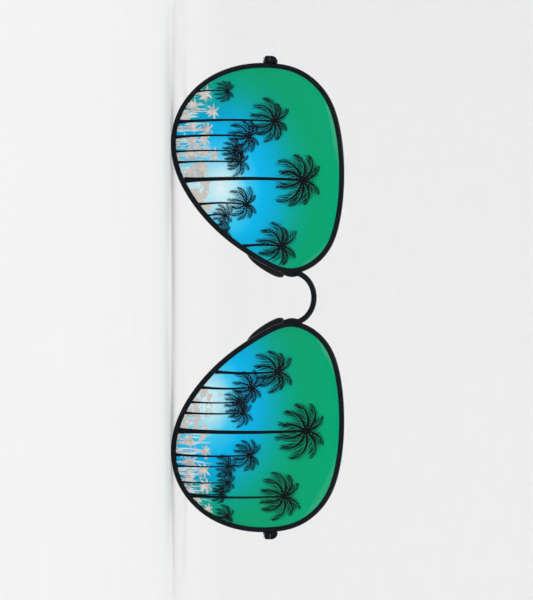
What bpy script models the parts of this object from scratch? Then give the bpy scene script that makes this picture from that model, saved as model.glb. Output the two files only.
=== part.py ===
"""Aviator sunglasses with a black wire frame, as separate pieces at their real size.

They stand as they are worn, on the lowest points of the rims and of the temple tips. +Z is up, the wearer
looks along -Y, and the wearer's left is +X. All sizes are in millimetres until a mesh is made. Depths are
counted from the foremost point of the lenses towards the wearer. Every piece is built for the left side,
and the right one is its mirror image.
"""

import math

import bmesh
import bpy
import numpy as np
from mathutils import Matrix, Vector

MM = 0.001
GAP = 0.05  # between pieces that are brazed, pressed or screwed together
SLIP = 0.1  # between pieces that turn past each other

# Lenses: the visible edge of the left lens, from the slit in its rim, over the brow, to the nose and back.
LENS_ANCHORS = [
    (66.0, 28.3), (64.7, 35.2), (58.0, 43.4), (47.0, 47.3), (34.5, 48.2),
    (22.5, 47.1), (12.9, 43.2), (8.1, 34.5), (11.0, 26.3), (18.5, 15.5),
    (28.5, 6.6), (40.0, 1.65), (51.0, 2.45), (61.2, 10.2), (65.6, 21.0),
]
LENS_CENTRE = (37.3, 24.9)
LENS_RADIUS = 88.0
LENS_THICKNESS = 2.0
LENS_BEVEL = 0.5
FACE_WRAP = math.tan(math.radians(5.0))
STATIONS = 60
LENS_RING_SHARES = (0.4, 0.75)

# Rims: grooved wire around each lens, slit beside the hinge.
RIM_WIDTH = 1.3
RIM_DEPTH = 2.2
GROOVE_DEPTH = 0.65
GROOVE_HALF_MOUTH = 0.6
SLIT = 0.2

# Bridge: half an ellipse of round wire, with a foot along the nasal edge of each rim.
BRIDGE_CENTRE_Z = 34.6
BRIDGE_HALF_WIDTH = 7.15
BRIDGE_RISE = 6.2
BRIDGE_FORWARD_BOW = 1.6
BRIDGE_RADIUS = 0.8
BRIDGE_FOOT_ZS = (31.6, 32.6, 33.6, 34.6)
BRIDGE_FOOT_OFFSET = 0.15

# Hinges, and the lock that closes each rim with a screw.
HINGE_Z = 28.3
HINGE_X = 66.4
HINGE_DEPTH = 14.0
KNUCKLE_RADIUS = 1.2
KNUCKLE_HEIGHT = 1.2
LEAF_THICKNESS = 0.55
LEAF_LENGTH = 2.75
FRONT_HALF_WIDTH = 69.3
LUG_THICKNESS = 1.0
LUG_HEIGHT = 2.6
LOCK_INNER_X = 67.42
LOCK_DEPTHS = (7.7, 10.7)
LOCK_LOW_Z = 26.8
LOCK_TOP_Z = 30.5
HINGE_SCREW_RADIUS = 0.6
LOCK_SCREW_RADIUS = 0.5

# Temples: flat arms, a bend behind the ear, and sleeves over their wire ends.
TEMPLE_STRAIGHT = 88.0
BEND_RADIUS = 24.0
HOOK_ANGLE = math.radians(42.0)
TIP_TUCK = 4.0
ARM_END = 70.0
SLEEVE_START = 74.0
SLEEVE_HALF_HEIGHTS = (1.35, 2.5)
SLEEVE_HALF_WIDTHS = (1.05, 1.3)
CORE_RADIUS = 0.6
CORE_END = 122.0

# Nose pads: each lies along the nasal edge of its lens and rocks on the screw of its box.
PAD_BACK = (11.05, 8.0, 27.7)
PAD_SLOPE = math.radians(37.0)
PAD_SPLAY = math.radians(25.0)
PAD_LENGTH = 13.2
PAD_WIDTH = 7.0
PAD_THICKNESS = 2.6
PAD_AXIS_DEPTH = 1.25
PAD_PLATE = (3.4, 8.0, 0.55)
PAD_BOX = (2.4, 2.2, 2.0)
PAD_SLOT = 1.1
PAD_LUG_RADIUS = 0.85
PAD_SCREW_RADIUS = 0.4
PAD_ARM_RADIUS = 0.5
PAD_ARM_START_Z = 33.0
PAD_ARM_BENDS = [(-1.3, 6.5, -2.9), (0.3, 5.3, -3.7), (0.7, 2.9, -4.5), (0.1, 0.6, -4.3)]

# The rounded end of a sleeve is as long as it is high, so its lowest point lies that far under its centre.
HOOK_DROP = BEND_RADIUS * (1 - math.cos(HOOK_ANGLE))
HOOK_LENGTH = (HINGE_Z - HOOK_DROP - SLEEVE_HALF_HEIGHTS[1] + 0.05) / math.sin(HOOK_ANGLE)
BEND_LENGTH = BEND_RADIUS * HOOK_ANGLE
TEMPLE_LENGTH = TEMPLE_STRAIGHT + BEND_LENGTH + HOOK_LENGTH
TEMPLE_X = FRONT_HALF_WIDTH - LUG_THICKNESS / 2
OVERALL_DEPTH = (
    HINGE_DEPTH + TEMPLE_STRAIGHT + BEND_RADIUS * math.sin(HOOK_ANGLE)
    + HOOK_LENGTH * math.cos(HOOK_ANGLE) + SLEEVE_HALF_HEIGHTS[1]
)

MATERIALS = {
    "black_enamel": ((0.012, 0.016, 0.022), 0.32, 0.0),
    "printed_lens": ((0.0, 0.36, 0.19), 0.08, 0.0),
    "black_acetate": ((0.008, 0.009, 0.011), 0.18, 0.0),
    "black_silicone": ((0.015, 0.017, 0.02), 0.5, 0.0),
    "steel": ((0.55, 0.56, 0.58), 0.28, 1.0),
}


# ---- shapes -------------------------------------------------------------------------------------------


def material(name):
    """The named finish as a Principled material, made once."""
    found = bpy.data.materials.get(name)
    if found:
        return found
    color, roughness, metallic = MATERIALS[name]
    made = bpy.data.materials.new(name)
    made.use_nodes = True
    shader = made.node_tree.nodes["Principled BSDF"]
    shader.inputs["Base Color"].default_value = (*color, 1.0)
    shader.inputs["Roughness"].default_value = roughness
    shader.inputs["Metallic"].default_value = metallic
    return made


def placed(point):
    """A point in millimetres and depth, as a Vector in metres about the middle of the object's base."""
    x, depth, z = point
    return Vector((x, depth - OVERALL_DEPTH / 2, z)) * MM


def new_object(name, shape):
    """An object in the scene from a bmesh in metres, with its faces turned outwards."""
    bmesh.ops.recalc_face_normals(shape, faces=shape.faces)
    mesh = bpy.data.meshes.new(name)
    shape.to_mesh(mesh)
    shape.free()
    made = bpy.data.objects.new(name, mesh)
    bpy.context.scene.collection.objects.link(made)
    return made


def loft(name, rings, closed=False):
    """A skin over rings of points, each a loop or a single pole. Open ends are capped."""
    shape = bmesh.new()
    loops = [[shape.verts.new(placed(p)) for p in ring] for ring in rings]
    pairs = list(zip(loops, loops[1:]))
    if closed:
        pairs.append((loops[-1], loops[0]))
    for first, second in pairs:
        count = max(len(first), len(second))
        for i in range(count):
            j = (i + 1) % count
            near = [first[i % len(first)], first[j % len(first)]]
            far = [second[j % len(second)], second[i % len(second)]]
            shape.faces.new(list(dict.fromkeys(near + far)))
    if not closed:
        for loop in (loops[0], loops[-1]):
            if len(loop) > 1:
                shape.faces.new(loop)
    return new_object(name, shape)


def circle(centre, u, v, radius, sides):
    """A ring of points about a centre, in the plane of the unit vectors u and v."""
    angles = np.arange(sides) * 2 * math.pi / sides
    return [centre + radius * (math.cos(a) * u + math.sin(a) * v) for a in angles]


def tube(name, path, radius, sides=10):
    """A round wire along a path, its section carried along without twisting."""
    path = np.array(path, float)
    along = np.gradient(path, axis=0)
    along /= np.linalg.norm(along, axis=1)[:, None]
    u = np.cross(along[0], (0.3, 0.2, 0.93))
    rings = []
    for point, direction in zip(path, along):
        u = u - direction * (u @ direction)
        u /= np.linalg.norm(u)
        rings.append(circle(point, u, np.cross(direction, u), radius, sides))
    return loft(name, rings)


def turned(name, base, axis, profile, sides=20):
    """A turned piece: profile holds (height along the axis, radius), and radius 0 is a pole."""
    axis = np.array(axis, float)
    side = np.cross(axis, (0.0, 0.0, 1.0) if abs(axis[2]) < 0.9 else (1.0, 0.0, 0.0))
    side /= np.linalg.norm(side)
    rings = []
    for height, radius in profile:
        centre = np.array(base, float) + axis * height
        rings.append(circle(centre, side, np.cross(axis, side), radius, sides) if radius else [centre])
    return loft(name, rings)


def block(name, low, high, bevel=0.0):
    """A box between two corners, with its edges bevelled."""
    shape = bmesh.new()
    bmesh.ops.create_cube(shape, size=1.0)
    low, high = placed(low), placed(high)
    for vert in shape.verts:
        vert.co = Vector([low[k] if vert.co[k] < 0 else high[k] for k in range(3)])
    if bevel:
        bmesh.ops.bevel(shape, geom=list(shape.edges), offset=bevel * MM, segments=2, affect="EDGES")
    return new_object(name, shape)


def extruded(name, outline, depths):
    """A prism: an outline of (x, z) points carried from the first depth to the second."""
    return loft(name, [[(x, depth, z) for x, z in outline] for depth in depths])


def combined(base, tool, operation):
    """base with the tool joined to it or cut from it. The tool is used up."""
    step = base.modifiers.new(operation, "BOOLEAN")
    step.operation = operation
    step.object = tool
    graph = bpy.context.evaluated_depsgraph_get()
    result = bpy.data.meshes.new_from_object(base.evaluated_get(graph))
    base.modifiers.clear()
    base.data = result
    bpy.data.objects.remove(tool)
    return base


def joined(base, *tools):
    for tool in tools:
        combined(base, tool, "UNION")
    return base


def cut(base, *tools):
    for tool in tools:
        combined(base, tool, "DIFFERENCE")
    return base


def smooth_path(points, steps):
    """A curve through the points with a Catmull-Rom span between each two, in steps straight pieces."""
    points = np.array(points, float)
    ends = np.vstack([2 * points[0] - points[1], points, 2 * points[-1] - points[-2]])
    path = []
    for a, b, c, d in zip(ends, ends[1:], ends[2:], ends[3:]):
        for t in np.arange(steps) / steps:
            even = 2 * b + (2 * a - 5 * b + 4 * c - d) * t**2
            odd = (c - a) * t + (3 * b - a - 3 * c + d) * t**3
            path.append((even + odd) / 2)
    return path + [points[-1]]


# ---- lens and rim -------------------------------------------------------------------------------------


def closed_spline(anchors, per_span=40):
    """Points on the closed curve through the anchors whose bend changes smoothly: a periodic cubic spline."""
    anchors = np.array(anchors, float)
    count = len(anchors)
    spans = np.linalg.norm(np.roll(anchors, -1, 0) - anchors, axis=1)
    matrix = np.zeros((count, count))
    right = np.zeros((count, 2))
    for i in range(count):
        before, after = spans[i - 1], spans[i]
        following = (i + 1) % count
        matrix[i, i - 1] += before
        matrix[i, i] += 2 * (before + after)
        matrix[i, following] += after
        right[i] = 6 * ((anchors[following] - anchors[i]) / after - (anchors[i] - anchors[i - 1]) / before)
    bend = np.linalg.solve(matrix, right)
    points = []
    for i, span in enumerate(spans):
        j = (i + 1) % count
        for t in np.arange(per_span) / per_span * span:
            cubic = (bend[i] * (span - t) ** 3 + bend[j] * t**3) / (6 * span)
            from_here = (anchors[i] / span - bend[i] * span / 6) * (span - t)
            to_next = (anchors[j] / span - bend[j] * span / 6) * t
            points.append(cubic + from_here + to_next)
    return np.array(points)


def lens_edge(lengths=None):
    """Points (x, z) of the lens's visible edge, and the outward normals there.

    lengths are distances along the edge from the slit; without them, the stations are evenly spaced.
    """
    fine = closed_spline(LENS_ANCHORS)
    loop = np.vstack([fine, fine[:1]])
    walked = np.concatenate([[0.0], np.cumsum(np.linalg.norm(np.diff(loop, axis=0), axis=1))])
    if lengths is None:
        lengths = np.arange(STATIONS) * walked[-1] / STATIONS
    lengths = np.asarray(lengths, float) % walked[-1]
    edge = np.stack([np.interp(lengths, walked, loop[:, k]) for k in (0, 1)], axis=1)
    ahead = np.stack([np.interp((lengths + 0.05) % walked[-1], walked, loop[:, k]) for k in (0, 1)], axis=1)
    along = ahead - edge
    along /= np.linalg.norm(along, axis=1)[:, None]
    return edge, np.stack([along[:, 1], -along[:, 0]], axis=1), walked[-1]


def lens_depth(x, z):
    """How far behind its foremost point the front of the lens lies: a sphere, turned to wrap the face."""
    across, up = x - LENS_CENTRE[0], z - LENS_CENTRE[1]
    sag = LENS_RADIUS - np.sqrt(LENS_RADIUS**2 - across**2 - up**2)
    return sag + FACE_WRAP * across + FACE_WRAP**2 * LENS_RADIUS / 2


def edge_ring(edge, normals, outwards, behind_middle):
    """Points all round the lens's edge, moved outwards from it and back from the lens's mid thickness."""
    middle = lens_depth(edge[:, 0], edge[:, 1]) + LENS_THICKNESS / 2
    moved = edge + normals * outwards
    return [(x, depth + behind_middle, z) for (x, z), depth in zip(moved, middle)]


def make_lens(name):
    """A curved lens whose edge carries a V bevel that seats in the rim's groove."""
    edge, normals, _ = lens_edge()
    inset = 0.12
    bevel_foot = 0.45
    rim_line = edge - normals * inset
    centre = np.array(LENS_CENTRE)

    def face(behind):
        rings = [[(*centre, lens_depth(*centre) + behind)]]
        for share in LENS_RING_SHARES:
            flat = centre + (rim_line - centre) * share
            rings.append([(x, z, lens_depth(x, z) + behind) for x, z in flat])
        return [[(x, depth, z) for x, z, depth in ring] for ring in rings]

    half = LENS_THICKNESS / 2
    edge_rings = [
        edge_ring(edge, normals, outwards, behind)
        for outwards, behind in (
            (-inset, -half), (-inset, -bevel_foot), (LENS_BEVEL, 0.0), (-inset, bevel_foot), (-inset, half),
        )
    ]
    return loft(name, face(0.0) + edge_rings + face(LENS_THICKNESS)[::-1])


def rim_profile(width, half_depth, groove):
    """The rim wire's section as (outwards, back) points. Without a groove it is the wire's outer shape."""
    corner = 0.4
    lip = 0.15
    outer = [
        (width - corner, -half_depth), (width, corner - half_depth),
        (width, half_depth - corner), (width - corner, half_depth),
    ]
    if not groove:
        return [(-1.0, -half_depth), *outer, (-1.0, half_depth)]
    inner = [
        (lip, half_depth), (0.0, half_depth - lip), (0.0, GROOVE_HALF_MOUTH), (GROOVE_DEPTH, 0.0),
        (0.0, -GROOVE_HALF_MOUTH), (0.0, lip - half_depth), (lip, -half_depth),
    ]
    return outer + inner


def swept_rim(name, profile, lengths):
    edge, normals, _ = lens_edge(lengths)
    around = [edge_ring(edge, normals, *point) for point in profile]
    return loft(name, list(zip(*around)))


def rim_lengths():
    """Distances along the edge for the rim's sections: the lens's own stations, and the slit's two lips."""
    _, _, whole = lens_edge()
    inner = np.arange(1, STATIONS) * whole / STATIONS
    return np.concatenate([[SLIT / 2], inner, [whole - SLIT / 2]])


def make_rim(name):
    return swept_rim(name, rim_profile(RIM_WIDTH, RIM_DEPTH / 2, groove=True), rim_lengths())


def rim_envelope():
    """The rim's outer shape and a brazing gap, to shape the ends of what is fixed to it."""
    profile = rim_profile(RIM_WIDTH + GAP, RIM_DEPTH / 2 + GAP, groove=False)
    return swept_rim("envelope", profile, rim_lengths())


# ---- bridge -------------------------------------------------------------------------------------------


def nasal_place(z, outwards):
    """The place beside the nasal edge of the lens at that height, at the lens's mid thickness."""
    _, _, whole = lens_edge()
    edge, normals, _ = lens_edge(np.linspace(0.0, whole, 1200, endpoint=False))
    nearest = np.argmin(np.abs(edge[:, 1] - z) + (edge[:, 0] > LENS_CENTRE[0]) * 100)
    x, height = edge[nearest] + normals[nearest] * outwards
    return x, lens_depth(*edge[nearest]) + LENS_THICKNESS / 2, height


def make_bridge():
    """Round wire bent to half an ellipse, its feet shaped to fit against the two rims."""
    foot = [nasal_place(z, RIM_WIDTH + BRIDGE_FOOT_OFFSET) for z in BRIDGE_FOOT_ZS]
    foot_depth = foot[-1][1]
    arch = [
        (
            BRIDGE_HALF_WIDTH * math.cos(turn),
            foot_depth - BRIDGE_FORWARD_BOW * math.sin(turn),
            BRIDGE_CENTRE_Z + BRIDGE_RISE * math.sin(turn),
        )
        for turn in np.radians(np.linspace(14.0, 166.0, 23))
    ]
    other_foot = [(-x, depth, z) for x, depth, z in foot[::-1]]
    bridge = tube("bridge", foot + arch + other_foot, BRIDGE_RADIUS)
    for sign in (1, -1):
        tool = rim_envelope()
        if sign < 0:
            mirror(tool)
        cut(bridge, tool)
    return bridge


# ---- rim lock and hinge -------------------------------------------------------------------------------


def lock_screw_place():
    return (LOCK_INNER_X + FRONT_HALF_WIDTH) / 2, sum(LOCK_DEPTHS) / 2


def make_end_piece(name):
    """The lock's upper half, with the lug that carries the hinge brought back from it."""
    slope = 1.1
    outline = [
        (LOCK_INNER_X, HINGE_Z + SLIT / 2), (FRONT_HALF_WIDTH, HINGE_Z + SLIT / 2),
        (FRONT_HALF_WIDTH, LOCK_TOP_Z - slope - 0.35), (FRONT_HALF_WIDTH - 0.35, LOCK_TOP_Z - slope),
        (LOCK_INNER_X + 0.4, LOCK_TOP_Z), (LOCK_INNER_X, LOCK_TOP_Z),
    ]
    lug_start = LOCK_DEPTHS[1] + 3 * GAP
    upper = extruded(name, outline, (LOCK_DEPTHS[0], lug_start + 0.25))
    lug = block(
        "lug",
        (FRONT_HALF_WIDTH - LUG_THICKNESS, lug_start, HINGE_Z - LUG_HEIGHT / 2),
        (FRONT_HALF_WIDTH, HINGE_DEPTH - SLIP / 2, HINGE_Z + LUG_HEIGHT / 2),
        bevel=0.25,
    )
    x, depth = lock_screw_place()
    thread = turned(
        "thread", (x, depth, HINGE_Z - 1.0), (0, 0, 1),
        [(0, 0), (0, LOCK_SCREW_RADIUS + GAP), (2.1, LOCK_SCREW_RADIUS + GAP), (2.1, 0)],
    )
    return cut(joined(upper, lug), thread)


def make_rim_lock(name):
    """The lock's lower half: a small block with a counterbored screw hole."""
    lock = block(
        name,
        (LOCK_INNER_X, LOCK_DEPTHS[0], LOCK_LOW_Z),
        (FRONT_HALF_WIDTH, LOCK_DEPTHS[1], HINGE_Z - SLIT / 2),
        bevel=0.15,
    )
    x, depth = lock_screw_place()
    hole = LOCK_SCREW_RADIUS + GAP
    head = hole + 0.22
    bore = turned(
        "bore", (x, depth, LOCK_LOW_Z - 0.5), (0, 0, 1),
        [(0, 0), (0, head), (1.0, head), (1.0, hole), (2.5, hole), (2.5, 0)],
    )
    return cut(lock, bore)


def slotted_screw(name, base, axis, shaft_radius, shaft_length, head_radius, head_height, slot_along):
    """A screw whose head starts at base and whose shaft runs against the axis, with a slot cut in its head."""
    point = 0.15
    screw = turned(
        name, base, axis,
        [
            (-shaft_length, 0), (-shaft_length, shaft_radius - point), (point - shaft_length, shaft_radius),
            (0, shaft_radius), (0, head_radius), (head_height * 0.6, head_radius),
            (head_height, head_radius * 0.8), (head_height, 0),
        ],
    )
    slot_half_width = head_radius * 0.14
    axis, along = np.array(axis, float), np.array(slot_along, float)
    across = np.cross(axis, along)
    middle = np.array(base, float) + axis * head_height
    corners = [(along, across), (along, -across), (-along, -across), (-along, across)]
    floor, roof = -0.5 * head_height, 0.5
    rings = [
        [middle + a * head_radius * 1.3 + c * slot_half_width + axis * height for a, c in corners]
        for height in (floor, roof)
    ]
    return cut(screw, loft("slot", rings))


def make_rim_screw(name):
    x, depth = lock_screw_place()
    return slotted_screw(
        name, (x, depth, LOCK_LOW_Z + 0.5 - GAP), (0, 0, -1), LOCK_SCREW_RADIUS, 1.9,
        LOCK_SCREW_RADIUS + 0.2, 0.35, (0, 1, 0),
    )


def knuckle_heights():
    """The three knuckles' (low, high), from the bottom. The middle one belongs to the temple."""
    step = KNUCKLE_HEIGHT + SLIP
    lowest = HINGE_Z - 1.5 * KNUCKLE_HEIGHT - SLIP
    return [(lowest + k * step, lowest + k * step + KNUCKLE_HEIGHT) for k in range(3)]


def knuckle(name, bottom, top, behind):
    """A knuckle and its web to the leaf. behind is 1 for the temple's and -1 for the front's."""
    near, far = SLIP / 2, KNUCKLE_RADIUS * 0.92
    first_turn = -math.asin(near / KNUCKLE_RADIUS)
    last_turn = 2 * math.pi - math.asin(far / KNUCKLE_RADIUS)
    turns = np.linspace(first_turn, last_turn, 22)
    outline = [(KNUCKLE_RADIUS * math.cos(turn), KNUCKLE_RADIUS * math.sin(turn)) for turn in turns]
    reach = KNUCKLE_RADIUS + SLIP + LEAF_THICKNESS / 2
    outline += [(reach, -far), (reach, -near)]
    rings = [[(HINGE_X + x, HINGE_DEPTH - behind * y, z) for x, y in outline] for z in (bottom, top)]
    return loft(name, rings)


def make_hinge_half(name, knuckles, behind):
    """A leaf that is brazed to the lug or the temple, with its knuckles on the hinge's axis."""
    leaf_x = HINGE_X + KNUCKLE_RADIUS + SLIP
    low, high = knuckle_heights()[0][0], knuckle_heights()[2][1]
    ends = sorted(HINGE_DEPTH + behind * reach for reach in (SLIP / 2, LEAF_LENGTH))
    half = block(name, (leaf_x, ends[0], low - 0.1), (leaf_x + LEAF_THICKNESS, ends[1], high + 0.1))
    half = joined(half, *[knuckle("knuckle", bottom, top, behind) for bottom, top in knuckles])
    bore_radius = HINGE_SCREW_RADIUS + GAP
    bore = turned(
        "bore", (HINGE_X, HINGE_DEPTH, low - 1), (0, 0, 1),
        [(0, 0), (0, bore_radius), (high - low + 2, bore_radius), (high - low + 2, 0)],
    )
    return cut(half, bore)


def make_front_hinge(name):
    lowest, _, highest = knuckle_heights()
    return make_hinge_half(name, [lowest, highest], -1)


def make_temple_hinge(name):
    return make_hinge_half(name, [knuckle_heights()[1]], 1)


def make_hinge_screw(name):
    low, high = knuckle_heights()[0][0], knuckle_heights()[2][1]
    return slotted_screw(
        name, (HINGE_X, HINGE_DEPTH, high + GAP), (0, 0, 1), HINGE_SCREW_RADIUS, high + GAP - low,
        1.0, 0.5, (1, 0, 0),
    )


# ---- temples ------------------------------------------------------------------------------------------


def temple_frame(walked):
    """The temple's centre at a distance from the hinge, and the unit vector that is up across its section."""
    bent = max(0.0, walked - TEMPLE_STRAIGHT)
    angle = min(bent / BEND_RADIUS, HOOK_ANGLE)
    straight_on = max(0.0, bent - BEND_LENGTH)
    straight_depth = HINGE_DEPTH + min(walked, TEMPLE_STRAIGHT)
    depth = straight_depth + BEND_RADIUS * math.sin(angle) + straight_on * math.cos(angle)
    z = HINGE_Z - BEND_RADIUS * (1 - math.cos(angle)) - straight_on * math.sin(angle)
    tuck = TIP_TUCK * (bent / (TEMPLE_LENGTH - TEMPLE_STRAIGHT)) ** 2
    return np.array((TEMPLE_X - tuck, depth, z)), np.array((0.0, math.sin(angle), math.cos(angle)))


def temple_section(walked, half_width, half_height, corner):
    """A ring of 16 points across the temple: a rectangle with rounded corners, or a circle."""
    centre, up = temple_frame(walked)
    across = np.array((1.0, 0.0, 0.0))
    ring = []
    for quarter in range(4):
        side = 1 if quarter in (0, 3) else -1
        top = 1 if quarter in (0, 1) else -1
        for k in range(4):
            turn = math.radians(90 * quarter + 11.25 + 22.5 * k)
            x = side * (half_width - corner) + corner * math.cos(turn)
            z = top * (half_height - corner) + corner * math.sin(turn)
            ring.append(centre + across * x + up * z)
    return ring


def bend_stations(start, end, step):
    return np.linspace(start, end, max(2, round((end - start) / step) + 1))


def make_temple(name):
    """A flat metal arm that thins to a round wire, bent down inside the sleeve."""
    flat = [
        (SLIP / 2, 1.3), (3.0, 1.3), (12.0, 1.25), (30.0, 1.1), (50.0, 0.95), (ARM_END, 0.8),
    ]
    rings = [temple_section(walked, LUG_THICKNESS / 2, height, 0.25) for walked, height in flat]
    wire = [SLEEVE_START - 1.0, *bend_stations(TEMPLE_STRAIGHT, CORE_END, 3.4)]
    rings += [temple_section(walked, CORE_RADIUS, CORE_RADIUS, CORE_RADIUS) for walked in wire]
    return loft(name, rings)


def sleeve_halves(walked):
    """Half the sleeve's width and height: it swells evenly towards its end."""
    share = (walked - SLEEVE_START) / (TEMPLE_LENGTH - SLEEVE_START)
    return [low + (high - low) * share for low, high in (SLEEVE_HALF_WIDTHS, SLEEVE_HALF_HEIGHTS)]


def make_temple_tip(name):
    """A sleeve with a round end, bored for the temple's wire."""
    rings = []
    for walked in [SLEEVE_START, SLEEVE_START + 0.4, *bend_stations(TEMPLE_STRAIGHT, TEMPLE_LENGTH, 3.8)]:
        width, height = sleeve_halves(walked)
        shrink = 0.85 if walked == SLEEVE_START else 1.0
        rings.append(temple_section(walked, width * shrink, height * shrink, width * shrink * 0.98))
    width, height = sleeve_halves(TEMPLE_LENGTH)
    for turn in np.radians((30.0, 55.0, 75.0)):
        share = math.cos(turn)
        cap = TEMPLE_LENGTH + height * math.sin(turn)
        rings.append(temple_section(cap, width * share, height * share, width * share * 0.98))
    rings.append([temple_frame(TEMPLE_LENGTH + height)[0]])
    bore_radius = CORE_RADIUS + 2 * GAP
    wire = [SLEEVE_START, *bend_stations(TEMPLE_STRAIGHT, CORE_END, 3.4)]
    bore = [temple_section(walked, bore_radius, bore_radius, bore_radius) for walked in wire]
    end = CORE_END + 4 * GAP
    bore.append(temple_section(end, bore_radius, bore_radius, bore_radius))
    return loft(name, [[temple_frame(end)[0]], *bore[::-1], *rings])


# ---- nose pads ----------------------------------------------------------------------------------------


def pad_axes():
    """Unit vectors of the left pad: across it (backwards), along it (up) and out of it (to the nose)."""
    along = np.array((-math.sin(PAD_SLOPE), 0.0, math.cos(PAD_SLOPE)))
    to_nose = np.array((-math.cos(PAD_SLOPE), 0.0, -math.sin(PAD_SLOPE)))
    backwards = np.array((0.0, 1.0, 0.0))
    out = to_nose * math.cos(PAD_SPLAY) + backwards * math.sin(PAD_SPLAY)
    across = backwards * math.cos(PAD_SPLAY) - to_nose * math.sin(PAD_SPLAY)
    return across, along, out


def pad_point(across, along, out):
    """A place on the left pad, from the middle of its flat back."""
    w, l, n = pad_axes()
    return np.array(PAD_BACK) + w * across + l * along + n * out


def pad_slab(name, half_width, half_length, low, high):
    """A box on the pad's own axes, about the middle of its back."""
    corners = [(1, 1), (1, -1), (-1, -1), (-1, 1)]
    rings = [[pad_point(a * half_width, b * half_length, n) for a, b in corners] for n in (low, high)]
    return loft(name, rings)


def make_nose_pad(name):
    """A soft oval pad, fuller at its lower end, with a flat face to the nose and a seat for its plate."""
    sides = 24
    levels = [(0.0, 0.86), (0.45, 1.0), (1.3, 1.0), (2.1, 0.84), (PAD_THICKNESS, 0.58)]
    rings = []
    for out, share in levels:
        ring = []
        for turn in np.arange(sides) * 2 * math.pi / sides:
            along = math.sin(turn) * PAD_LENGTH / 2
            fuller = 1.0 - 0.16 * math.sin(turn)
            across = math.copysign(abs(math.cos(turn)) ** 0.85, math.cos(turn)) * PAD_WIDTH / 2 * fuller
            ring.append(pad_point(across * share, along * share, out))
        rings.append(ring)
    pad = loft(name, rings)
    width, length, thickness = PAD_PLATE
    seat = pad_slab("seat", width / 2 + GAP, length / 2 + GAP, -1.0, thickness + GAP)
    return cut(pad, seat)


def make_pad_core(name):
    """The pad's metal plate, with a round-ended lug that turns on the box's screw."""
    width, length, thickness = PAD_PLATE
    plate = pad_slab(name, width / 2, length / 2, 0.0, thickness)
    lug_half = PAD_SLOT / 2 - SLIP
    outline = [(PAD_LUG_RADIUS, thickness / 2)]
    for turn in np.radians(np.linspace(0.0, -180.0, 11)):
        outline.append((PAD_LUG_RADIUS * math.cos(turn), PAD_LUG_RADIUS * math.sin(turn) - PAD_AXIS_DEPTH))
    outline.append((-PAD_LUG_RADIUS, thickness / 2))
    sides = (-lug_half, lug_half)
    lug = loft("lug", [[pad_point(side, along, out) for along, out in outline] for side in sides])
    return cut(joined(plate, lug), pad_screw_bore())


def pad_screw_bore():
    across, _, _ = pad_axes()
    radius, reach = PAD_SCREW_RADIUS + GAP, PAD_BOX[0]
    start = pad_point(-reach, 0.0, -PAD_AXIS_DEPTH)
    return turned("bore", start, across, [(0, 0), (0, radius), (2 * reach, radius), (2 * reach, 0)], 16)


def make_pad_box(name):
    """A small box on the end of the pad arm, slotted for the pad's lug and drilled for its screw."""
    width, length, height = PAD_BOX
    top = 0.8 - PAD_AXIS_DEPTH
    box = pad_slab(name, width / 2, length / 2, top - height, top)
    slot = pad_slab("slot", PAD_SLOT / 2, length, -PAD_AXIS_DEPTH - PAD_LUG_RADIUS - SLIP, 1.0)
    return cut(box, slot, pad_screw_bore())


def make_pad_screw(name):
    across, along, _ = pad_axes()
    width = PAD_BOX[0]
    base = pad_point(width / 2 + GAP, 0.0, -PAD_AXIS_DEPTH)
    return slotted_screw(name, base, across, PAD_SCREW_RADIUS, width, 0.7, 0.35, along)


def make_pad_arm(name):
    """Thin wire from the back of the rim, looped behind the lens to the back of the pad's box."""
    start = np.array(nasal_place(PAD_ARM_START_Z, RIM_WIDTH / 2)) + (0.0, RIM_DEPTH / 2 - 0.4, 0.0)
    back = 0.8 - PAD_AXIS_DEPTH - PAD_BOX[2] - GAP
    bends = [pad_point(*place) for place in PAD_ARM_BENDS]
    route = [start, start + (0.0, 1.1, 0.0), *bends, pad_point(0.0, 0.0, back)]
    return cut(tube(name, smooth_path(route, 4), PAD_ARM_RADIUS, sides=8), rim_envelope())


# ---- assembly -----------------------------------------------------------------------------------------


def mirror(obj):
    """Turns a left piece into its right twin, with its faces still outwards."""
    shape = bmesh.new()
    shape.from_mesh(obj.data)
    bmesh.ops.transform(shape, matrix=Matrix.Scale(-1, 4, (1, 0, 0)), verts=shape.verts)
    bmesh.ops.reverse_faces(shape, faces=shape.faces)
    shape.to_mesh(obj.data)
    shape.free()


def axis_empty(name, point, sign):
    """An empty on a joint's axis, for the pieces that turn about it."""
    made = bpy.data.objects.new(name, None)
    bpy.context.scene.collection.objects.link(made)
    made.location = placed(point)
    made.location.x *= sign
    made.empty_display_size = 5 * MM
    return made


def finish(obj, finish_name, parent):
    """Gives a piece its material and shading, and hangs it on its parent's origin."""
    obj.data.materials.clear()
    obj.data.materials.append(material(finish_name))
    obj.data.shade_smooth()
    obj.data.set_sharp_from_angle(angle=math.radians(35))
    obj.data.transform(Matrix.Translation(-parent.location))
    obj.parent = parent


PIECES = {
    "front": [
        ("rim", make_rim, "black_enamel"),
        ("lens", make_lens, "printed_lens"),
        ("end_piece", make_end_piece, "black_enamel"),
        ("rim_lock", make_rim_lock, "black_enamel"),
        ("rim_screw", make_rim_screw, "steel"),
        ("front_hinge", make_front_hinge, "black_enamel"),
        ("hinge_screw", make_hinge_screw, "steel"),
        ("pad_arm", make_pad_arm, "black_enamel"),
        ("pad_box", make_pad_box, "black_enamel"),
        ("pad_screw", make_pad_screw, "steel"),
    ],
    "temple": [
        ("temple_hinge", make_temple_hinge, "black_enamel"),
        ("temple", make_temple, "black_enamel"),
        ("temple_tip", make_temple_tip, "black_acetate"),
    ],
    "pad": [
        ("nose_pad", make_nose_pad, "black_silicone"),
        ("pad_core", make_pad_core, "steel"),
    ],
}


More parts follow.
